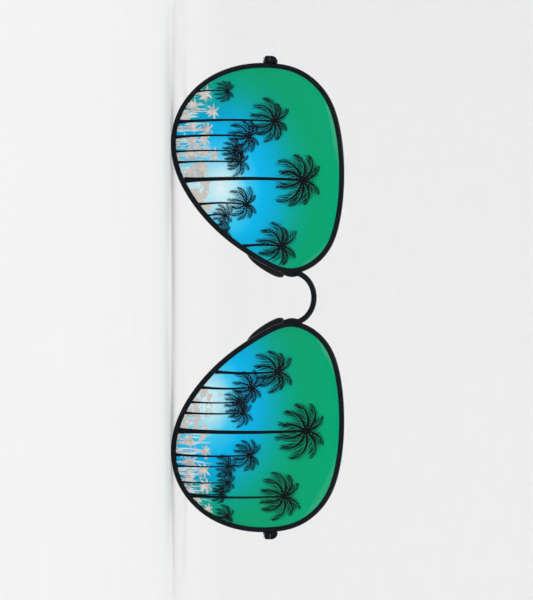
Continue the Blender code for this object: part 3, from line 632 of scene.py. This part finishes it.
def rounded_section(x0, x1, z0, z1, corners, steps=7):
    """A ring of (x, z) points: a rectangle whose corners, counted from outer top anticlockwise, each have their
    own radius."""
    outer_top, inner_top, inner_low, outer_low = corners
    turn = np.radians(np.linspace(0, 90, steps))
    arcs = []
    for quarter, radius, cx, cz in (
        (0, outer_top, x1 - outer_top, z1 - outer_top), (1, inner_top, x0 + inner_top, z1 - inner_top),
        (2, inner_low, x0 + inner_low, z0 + inner_low), (3, outer_low, x1 - outer_low, z0 + outer_low),
    ):
        angle = turn + quarter * np.pi / 2
        arcs.append(np.stack([cx + radius * np.cos(angle), cz + radius * np.sin(angle)], 1))
    return np.vstack(arcs)


def bar(stations, sections, ease=0.18):
    """Rings of a bar that runs back through sections at depths, its first and last edges eased: there the
    section shrinks towards its middle along a quarter circle."""
    depths, rings = [], []
    turn = np.radians(np.linspace(0, 90, 5))[:-1]
    middle = sections[0].mean(0)
    for angle in turn:
        shrink = 1 - ease * (1 - np.sin(angle)) / np.ptp(sections[0], axis=0)
        rings.append(middle + (sections[0] - middle) * shrink)
        depths.append(stations[0] + ease * (1 - np.cos(angle)))
    depths += [stations[0] + ease, *stations[1:-1], stations[-1] - ease]
    rings += [sections[0], *sections[1:-1], sections[-1]]
    middle = sections[-1].mean(0)
    for angle in turn[::-1]:
        shrink = 1 - ease * (1 - np.sin(angle)) / np.ptp(sections[-1], axis=0)
        rings.append(middle + (sections[-1] - middle) * shrink)
        depths.append(stations[-1] - ease * (1 - np.cos(angle)))
    rings = np.array(rings)
    depths = np.broadcast_to(np.array(depths)[:, None], rings.shape[:2])
    return np.stack([rings[..., 0], depths, rings[..., 1]], -1)


for side_name, side in SIDES.items():
    corners = (1.85, 0.05, 0.05, 0.05)
    upper = rounded_section(LOCK_INNER, OUTER, HINGE_Z + SLIT / 2, LOCK_TOP, corners, steps=12)
    low, high = HINGE_Z - LUG_HALF_HEIGHT, HINGE_Z + LUG_HALF_HEIGHT
    lug = rounded_section(OUTER - 1.0, OUTER, low, high, (0.45, 0.2, 0.2, 0.3), steps=12)
    halfway = 0.45 * upper + 0.55 * lug
    stations = (LOCK_FRONT, LOCK_FRONT + 0.5, 10.45, 10.85, 11.3, 12.5, LUG_BACK)
    forging = bar(stations, [upper, upper, upper, halfway, lug, lug, lug], ease=0.07)
    make_piece(
        f"{side_name}_end_piece_forging", [skin(forging)], side, [BLACK_ENAMEL], "front",
        [f"{side_name}_end_piece"],
    )
    lower = rounded_section(LOCK_INNER, OUTER, LOCK_FOOT, HINGE_Z - SLIT / 2, (0.05, 0.05, 0.2, 0.5))
    block = bar((LOCK_FRONT, LOCK_FRONT + 0.5, LOCK_BACK - 0.5, LOCK_BACK), [lower] * 4, ease=0.07)
    make_piece(
        f"{side_name}_lock_block", [skin(block)], side, [BLACK_ENAMEL], "front",
        [f"{side_name}_rim_lock"],
    )


# ---- Temples ------------------------------------------------------------------------------------------
# Each temple is one length of flat metal, widest at the hinge, thinning to a wire core that is bent down
# behind the ear. It folds in on the hinge and is enamelled like the rims.

HINGE_DEPTH = 14.0
TEMPLE_X = OUTER - 0.5
TEMPLE_STRAIGHT = 88.0
BEND_RADIUS = 24.0
HOOK_ANGLE = math.radians(42.0)
TIP_TUCK = 4.0
SLEEVE_START = 74.0
SLEEVE_HALF_HEIGHTS = (1.35, 2.5)
SLEEVE_HALF_WIDTHS = (1.05, 1.3)
HOOK_DROP = BEND_RADIUS * (1 - math.cos(HOOK_ANGLE))
HOOK_LENGTH = (HINGE_Z - HOOK_DROP - SLEEVE_HALF_HEIGHTS[1] + 0.05) / math.sin(HOOK_ANGLE)
TEMPLE_LENGTH = TEMPLE_STRAIGHT + BEND_RADIUS * HOOK_ANGLE + HOOK_LENGTH


def temple_line(walked):
    """Centres and upward directions of the temple at distances from the hinge: straight, then an arc, then
    straight again, tucked in by the square of the way past the bend's start."""
    bent = np.maximum(0, walked - TEMPLE_STRAIGHT)
    angle = np.minimum(bent / BEND_RADIUS, HOOK_ANGLE)
    rest = np.maximum(0, bent - BEND_RADIUS * HOOK_ANGLE)
    bend_end = HINGE_DEPTH + np.minimum(walked, TEMPLE_STRAIGHT) + BEND_RADIUS * np.sin(angle)
    depth = bend_end + rest * np.cos(angle)
    z = HINGE_Z - BEND_RADIUS * (1 - np.cos(angle)) - rest * np.sin(angle)
    tuck = TIP_TUCK * (bent / (TEMPLE_LENGTH - TEMPLE_STRAIGHT)) ** 2
    return np.stack([TEMPLE_X - tuck, depth, z], 1), np.stack([0 * angle, np.sin(angle), np.cos(angle)], 1)


def along_temple(walked, half_widths, half_heights, corners, steps=7):
    """Rings square to the temple: rectangles with rounded corners, each (half width, half height, corner)."""
    centre, up = temple_line(walked)
    sizes = (half_widths, half_heights, corners)
    half_widths, half_heights, corners = (np.broadcast_to(size, len(walked))[:, None] for size in sizes)
    quarter = np.repeat(np.arange(4), steps)
    angle = np.pi / 2 * quarter + np.tile(np.radians(np.linspace(0, 90, steps)), 4)
    side = np.where((quarter == 0) | (quarter == 3), 1, -1)
    top = np.where(quarter < 2, 1, -1)
    x = side * (half_widths - corners) + corners * np.cos(angle)
    z = top * (half_heights - corners) + corners * np.sin(angle)
    return centre[:, None] + x[..., None] * (1, 0, 0) + z[..., None] * up[:, None]


for side_name, side in SIDES.items():
    walked = np.array((0.05, 0.09, 0.2, 0.5, 3, 8, 16, 24, 32, 40, 48, 56, 64, 70, 73, 76, 78))
    half_height = np.interp(walked, (0, 12, 50, 73, 78), (1.3, 1.25, 0.98, 0.85, 0.7))
    half_width = np.interp(walked, (0, 60, 78), (0.5, 0.5, 0.45))
    ease = np.interp(walked, (0.05, 0.09, 0.2, 0.3), (0.2, 0.08, 0.0, 0.0))
    arm = along_temple(walked, half_width - ease, half_height - ease, 0.26)
    make_piece(
        f"{side_name}_temple_arm_metal", [skin(arm)], side, [BLACK_ENAMEL],
        f"{side_name}_temple_arm", [f"{side_name}_temple"],
    )


# ---- Temple tips --------------------------------------------------------------------------------------
# Black acetate sleeves, pushed on warm over the temples' wire cores and bent with them. They swell to a
# rounded paddle that rests behind the ear.

ACETATE = srgb(9, 10, 13)
SLEEVE_EASE = 0.45
BLACK_ACETATE = grained(
    "black_acetate", ACETATE, 0.2, (700.0, 0.15, 0.08, 0.000006),
    Coat_Weight=0.25, Coat_Roughness=0.05, Specular_IOR_Level=0.25,
)
for side_name, side in SIDES.items():
    walked = np.linspace(SLEEVE_START, TEMPLE_LENGTH, 70)
    share = (walked - SLEEVE_START) / (TEMPLE_LENGTH - SLEEVE_START)
    sizes = (SLEEVE_HALF_WIDTHS, SLEEVE_HALF_HEIGHTS)
    sizes = [small + (large - small) * share for small, large in sizes]
    eased = SLEEVE_EASE * (1 - np.sin(np.radians(np.linspace(10, 90, 6))[:-1]))
    nose = np.radians(np.linspace(0, 86, 14))[1:]
    past_end = TEMPLE_LENGTH + sizes[1][-1] * np.sin(nose)
    walked = np.concatenate([SLEEVE_START + eased[::-1], walked[1:], past_end])
    width, tall = (np.concatenate([half[0] - eased, half[1:], half[-1] * np.cos(nose)]) for half in sizes)
    sleeve = along_temple(walked, width, tall, np.minimum(width, tall) * 0.97)
    make_piece(
        f"{side_name}_tip_sleeve", [skin(sleeve)], side, [BLACK_ACETATE],
        f"{side_name}_temple_arm", [f"{side_name}_temple_tip"],
    )


# ---- Hinges -------------------------------------------------------------------------------------------
# Three-knuckle hinges: two knuckles on the front's leaf and one on the temple's, turning on a slotted steel
# screw. The leaves are brazed to the lug and the temple.

HINGE_X = 66.4
KNUCKLE = 1.2
KNUCKLE_HEIGHT = 1.2
KNUCKLE_STEP = 1.3
BORE = 0.65
LOWEST_KNUCKLE = HINGE_Z - 1.5 * KNUCKLE_HEIGHT - 0.1


def knuckle_ring(low, high, ease=0.12):
    """A turned ring about the hinge's axis: a rectangle between bore and outside, its outer edges eased."""
    profile = np.array([
        (BORE, low + 0.02), (KNUCKLE - ease, low), (KNUCKLE - 0.03, low + 0.04), (KNUCKLE, low + ease),
        (KNUCKLE, high - ease), (KNUCKLE - 0.03, high - 0.04), (KNUCKLE - ease, high), (BORE, high - 0.02),
    ])
    turn = np.linspace(0, 2 * np.pi, 48, endpoint=False)[:, None]
    radius, z = profile.T
    x, depth = HINGE_X + radius * np.cos(turn), HINGE_DEPTH + radius * np.sin(turn)
    return skin(np.stack([x, depth, np.broadcast_to(z, x.shape)], -1), poles=False)


# A hinge's halves as (name, knuckles counted from the lowest, direction of the leaf).
HINGE_HALVES = (("front", (0, 2), -1), ("temple", (1,), 1))
for side_name, side in SIDES.items():
    for half, knuckles, behind in HINGE_HALVES:
        parts = []
        reach = np.array((0.06, 0.5, 1.7, 2.0, 2.3, 2.5, 2.65, 2.74))
        low, high = LOWEST_KNUCKLE - 0.1, LOWEST_KNUCKLE + 3.9
        leaf = rounded_section(HINGE_X + KNUCKLE + 0.1, 68.25, low, high, (0.12,) * 4)
        narrow = 1 - 0.4 * np.clip((reach - 1.7) / 1.04, 0, 1) ** 3
        leaves = [(leaf - (0, HINGE_Z)) * (1, share) + (0, HINGE_Z) for share in narrow]
        order = slice(None, None, behind)
        parts.append(skin(bar((HINGE_DEPTH + behind * reach)[order], leaves[order], ease=0.08)))
        for k in knuckles:
            low = LOWEST_KNUCKLE + k * KNUCKLE_STEP
            high = low + KNUCKLE_HEIGHT
            parts.append(knuckle_ring(low, high))
            web = rounded_section(HINGE_X + 0.75, 67.9, low + 0.02, high - 0.02, (0.05,) * 4, steps=3)
            first, last = sorted(HINGE_DEPTH + behind * reach for reach in (0.06, 1.08))
            parts.append(skin(bar((first, first + 0.3, last - 0.3, last), [web] * 4, ease=0.05)))
        body = "front" if half == "front" else f"{side_name}_temple_arm"
        make_piece(
            f"{side_name}_{half}_hinge_leaf", parts, side, [BLACK_ENAMEL], body,
            [f"{side_name}_{half}_hinge"],
        )


# ---- Nose pads, their boxes and arms ------------------------------------------------------------------
# Each pad is soft black silicone moulded round a steel plate. The plate's lug rocks on a screw in a small
# slotted box, on the end of a thin wire that is brazed behind the rim and bent to suit the nose.

PAD_BACK = np.array((11.05, 8.0, 27.7))
PAD_SLOPE = math.radians(37.0)
PAD_SPLAY = math.radians(25.0)
PAD_LENGTH = 13.2
PAD_WIDTH = 7.0
PAD_THICKNESS = 2.6
PAD_AXIS_DEPTH = 1.25
SILICONE = srgb(10, 12, 15)
PAD_UP = np.array((-math.sin(PAD_SLOPE), 0.0, math.cos(PAD_SLOPE)))
TO_NOSE = np.array((-math.cos(PAD_SLOPE), 0.0, -math.sin(PAD_SLOPE)))
PAD_OUT = TO_NOSE * math.cos(PAD_SPLAY) + np.array((0.0, 1.0, 0.0)) * math.sin(PAD_SPLAY)
PAD_ACROSS = np.array((0.0, 1.0, 0.0)) * math.cos(PAD_SPLAY) - TO_NOSE * math.sin(PAD_SPLAY)


def on_pad(across, up, out):
    """Places on the left pad's own axes, from the middle of its back."""
    across, up, out = np.broadcast_arrays(across, up, out)
    return PAD_BACK + across[..., None] * PAD_ACROSS + up[..., None] * PAD_UP + out[..., None] * PAD_OUT


def pad_rings():
    """Ovals stacked from the back of the pad to its face, fuller at the lower end. The sides follow a quarter
    of a squarish ellipse, so the face rolls over into them."""
    turn = np.linspace(0, 2 * np.pi, 64, endpoint=False)[None]
    half, eased = PAD_THICKNESS / 2, 0.45
    rolled = half + half * np.sin(np.radians(np.linspace(8, 90, 12)))
    level = np.concatenate([np.linspace(0, eased, 5), np.linspace(0.6, half, 5), rolled])
    share = np.where(level < eased, 1 - 0.14 * (1 - level / eased) ** 2, 1.0)
    over = np.clip((level - half) / half, 0, 1)
    share = (share * (0.58 + 0.42 * np.sqrt(1 - over**2)))[:, None]
    up = np.sin(turn) * PAD_LENGTH / 2
    across = np.sign(np.cos(turn)) * np.abs(np.cos(turn)) ** 0.85 * PAD_WIDTH / 2 * (1 - 0.2 * np.sin(turn))
    return on_pad(across * share, up * share, level[:, None])


def pad_box_rings():
    """The box as a U that runs along the pad: a slot for the lug between two cheeks."""
    top = 0.8 - PAD_AXIS_DEPTH
    low, floor = top - 2.0, -PAD_AXIS_DEPTH - 0.95
    half, slot = 1.2, 0.55
    u_shape = np.array([
        (-half, low + 0.3), (-half + 0.3, low), (half - 0.3, low), (half, low + 0.3), (half, top - 0.1),
        (half - 0.1, top), (slot + 0.05, top), (slot, top - 0.05), (slot, floor), (-slot, floor),
        (-slot, top - 0.05), (-slot - 0.05, top), (-half + 0.1, top), (-half, top - 0.1),
    ])
    up = np.array((-1.1, -1.06, -1.0, 1.0, 1.06, 1.1))[:, None]
    ease = np.array((0.08, 0.02, 0.0, 0.0, 0.02, 0.08))[:, None]
    across, out = u_shape.T[:, None]
    eased_across = across - np.sign(across) * ease * (np.abs(across) > 0.6)
    eased_out = np.where(out < -2, out + ease, out - ease * (out > -1))
    return on_pad(eased_across, up, eased_out)


BLACK_SILICONE = grained(
    "black_silicone", SILICONE, 0.5, (3200.0, 0.45, 0.15, 0.00001),
    Specular_IOR_Level=0.16, Sheen_Weight=0.04,
)
# The arm's bends as (across, up, out) on the pad's own axes.
ARM_BENDS = np.array([
    (-1.3, 6.5, -2.9), (0.3, 5.3, -3.7), (0.7, 2.9, -4.5), (0.1, 0.6, -4.3), (0.0, 0.0, -2.4),
])
for side_name, side in SIDES.items():
    make_piece(
        f"{side_name}_pad_silicone", [skin(pad_rings())], side, [BLACK_SILICONE],
        f"{side_name}_pad", [f"{side_name}_nose_pad"],
    )
    make_piece(
        f"{side_name}_pad_box_metal", [skin(pad_box_rings())], side, [BLACK_ENAMEL], "front",
        [f"{side_name}_pad_box"], sharp=30,
    )
    start = nasal_place(33.0, RIM_WIDTH / 2)[0] + (0.0, RIM_DEPTH / 2 - 0.5, 0.0)
    path = through(np.vstack([start, start + (0.0, 0.75, 0.0), on_pad(*ARM_BENDS.T)]), 12)
    way = np.linspace(0, 1, len(path))
    radius = 0.49 + 0.2 * np.exp(-way * 30) + 0.12 * np.exp(-(1 - way) * 40)
    make_piece(
        f"{side_name}_pad_arm_wire", [skin(wire(path, radius, 16, (-0.6, -0.6, 0.5)))], side, [BLACK_ENAMEL],
        "front", [f"{side_name}_pad_arm"],
    )


# ---- Screws and pad plates ----------------------------------------------------------------------------
# Turned steel screws with slotted, domed heads hold the locks, the hinges and the pads. They stay bare metal,
# like the stamped plates inside the pads.

STEEL = (0.52, 0.53, 0.55)
# Each screw is (seat of its head, direction of its head, direction of its slot, shaft radius, shaft length,
# head radius, head height).
SCREWS = {
    "rim_screw": ((68.36, 9.2, 26.75), (0.0, 0.0, -1.0), (0.0, 1.0, 0.0), 0.48, 1.8, 0.7, 0.35),
    "hinge_screw": ((HINGE_X, HINGE_DEPTH, 30.25), (0.0, 0.0, 1.0), (0.87, 0.5, 0.0), 0.6, 3.8, 1.0, 0.5),
    "pad_screw": (on_pad(1.25, 0.0, -PAD_AXIS_DEPTH), PAD_ACROSS, PAD_UP, 0.38, 2.3, 0.7, 0.35),
}


def screw(seat, axis, slot, shaft, length, head, height):
    """A shaft and the lower half of its head, turned about the axis, and two halves of a dome either side of
    the slot. A half's rings are arcs cut off by the slot's wall, and they shrink as an ellipse does upwards."""
    axis, slot = np.asarray(axis, float), np.asarray(slot, float)
    across = np.cross(axis, slot)

    def place(u, v, up):
        u, v, up = np.broadcast_arrays(u, v, up)
        return np.asarray(seat) + u[..., None] * across + v[..., None] * slot + up[..., None] * axis

    profile = np.array([
        (-length, shaft - 0.14), (0.14 - length, shaft), (-0.04, shaft), (0.0, shaft + 0.02),
        (0.0, head - 0.05), (0.02, head - 0.01), (0.06, head), (0.5 * height, head),
    ])
    turn = np.linspace(0, 2 * np.pi, 40, endpoint=False)[None]
    up, radius = profile.T[:, :, None]
    parts = [skin(place(radius * np.cos(turn), radius * np.sin(turn), up))]
    rise = np.linspace(0, 1, 7)[:, None]
    radius = head * np.sqrt(1 - 0.5 * rise**2) * (1 - 0.12 * np.maximum(0, rise - 0.8) / 0.2)
    wall = 0.13 * head
    swing = np.linspace(-1, 1, 25)[None] * np.arccos(wall / radius)
    up = height * (0.49 + 0.51 * rise)
    for side in (-1, 1):
        parts.append(skin(place(side * radius * np.cos(swing), radius * np.sin(swing), up)))
    return parts


STEEL_FINISH = grained("steel", STEEL, 0.28, (9000.0, 0.28, 0.2, 0.000006), Metallic=1.0)
for side_name, side in SIDES.items():
    for name, sizes in SCREWS.items():
        make_piece(
            f"{side_name}_{name}_steel", screw(*sizes), side, [STEEL_FINISH], "front",
            [f"{side_name}_{name}"], sharp=35,
        )
    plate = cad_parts[f"{side_name}_pad_core"]
    plate.data.materials.clear()
    plate.data.materials.append(STEEL_FINISH)


# ---- Studio -------------------------------------------------------------------------------------------
# A pale round sweep, so the floor has no horizon from any side, three large soft lights and the camera.

SWEEP_FLOOR = 1.0
SWEEP_BEND = 1.8
SWEEP_HEIGHT = 4.0


def sweep():
    """A floor turned about +Z: flat, then a quarter circle up into a wall."""
    bend = np.radians(np.linspace(0, 90, 48))[1:]
    floor = np.linspace(0.05, SWEEP_FLOOR, 8)
    radius = np.concatenate([floor, SWEEP_FLOOR + SWEEP_BEND * np.sin(bend), [SWEEP_FLOOR + SWEEP_BEND]])
    height = np.concatenate([0 * floor, SWEEP_BEND * (1 - np.cos(bend)), [SWEEP_HEIGHT]])
    around = 96
    turn = np.linspace(0, 2 * np.pi, around, endpoint=False)
    x, y = radius[:, None] * np.cos(turn), radius[:, None] * np.sin(turn)
    rings = np.stack([x, y, np.broadcast_to(height[:, None], x.shape)], -1)
    i, j = np.arange(len(radius) - 1)[:, None], np.arange(around)[None]
    low, high, onward = i * around, (i + 1) * around, (j + 1) % around
    quads = np.stack([low + j, high + j, high + onward, low + onward], -1).reshape(-1, 4)
    mesh = bpy.data.meshes.new("sweep")
    mesh.from_pydata(rings.reshape(-1, 3).tolist(), [], [list(range(around)), *quads.tolist()])
    mesh.shade_smooth()
    made = bpy.data.objects.new("sweep", mesh)
    bpy.context.scene.collection.objects.link(made)
    mesh.materials.append(PAPER)
    return made


def softbox(name, place, size, power, aim=(0.0, 0.0, 0.02)):
    """A square lamp at a place, turned to face its aim."""
    lamp = bpy.data.lights.new(name, "AREA")
    lamp.shape = "SQUARE"
    lamp.size = size
    lamp.energy = power
    made = bpy.data.objects.new(name, lamp)
    bpy.context.scene.collection.objects.link(made)
    made.location = place
    away = np.array(place) - np.array(aim)
    tilt = math.acos(away[2] / np.linalg.norm(away))
    made.rotation_euler = (tilt, 0.0, math.atan2(away[1], away[0]) + math.pi / 2)


PAPER = grained(
    "paper", (0.8, 0.8, 0.8), 0.85, (400.0, 0.85, 0.05, 0.00002), contrast=0.006, Specular_IOR_Level=0.0,
)
sweep()
softbox("key", (-1.3, -1.4, 2.3), 1.3, 24.0)
softbox("fill", (1.6, -1.1, 1.5), 1.2, 12.0)
softbox("back", (0.4, 1.8, 2.2), 1.2, 14.0)
world = bpy.data.worlds.new("studio_air")
world.use_nodes = True
world.node_tree.nodes["Background"].inputs["Color"].default_value = (1.0, 1.0, 1.0, 1.0)
world.node_tree.nodes["Background"].inputs["Strength"].default_value = 0.7
bpy.context.scene.world = world
bpy.context.scene.view_settings.view_transform = "Standard"

# The camera looks straight at the front, rolled a quarter turn, so the wearer's right is at the top. The
# view's long side is measured where the rims lie, a little behind the foremost point of the lenses.
CAMERA_AWAY = 0.7
RIMS_BEHIND = 0.004
VIEW_LONG_SIDE = 0.171
VIEW_MIDDLE = (0.0007, 0.0273)
camera = bpy.data.cameras.new("camera")
camera.sensor_width = 36.0
camera.lens = camera.sensor_width * (CAMERA_AWAY + RIMS_BEHIND) / VIEW_LONG_SIDE
camera_object = bpy.data.objects.new("camera", camera)
bpy.context.scene.collection.objects.link(camera_object)
camera_object.location = (VIEW_MIDDLE[0], FOREMOST - CAMERA_AWAY, VIEW_MIDDLE[1])
camera_object.rotation_mode = "QUATERNION"
camera_object.rotation_quaternion = (0.5, 0.5, -0.5, 0.5)
bpy.context.scene.camera = camera_object
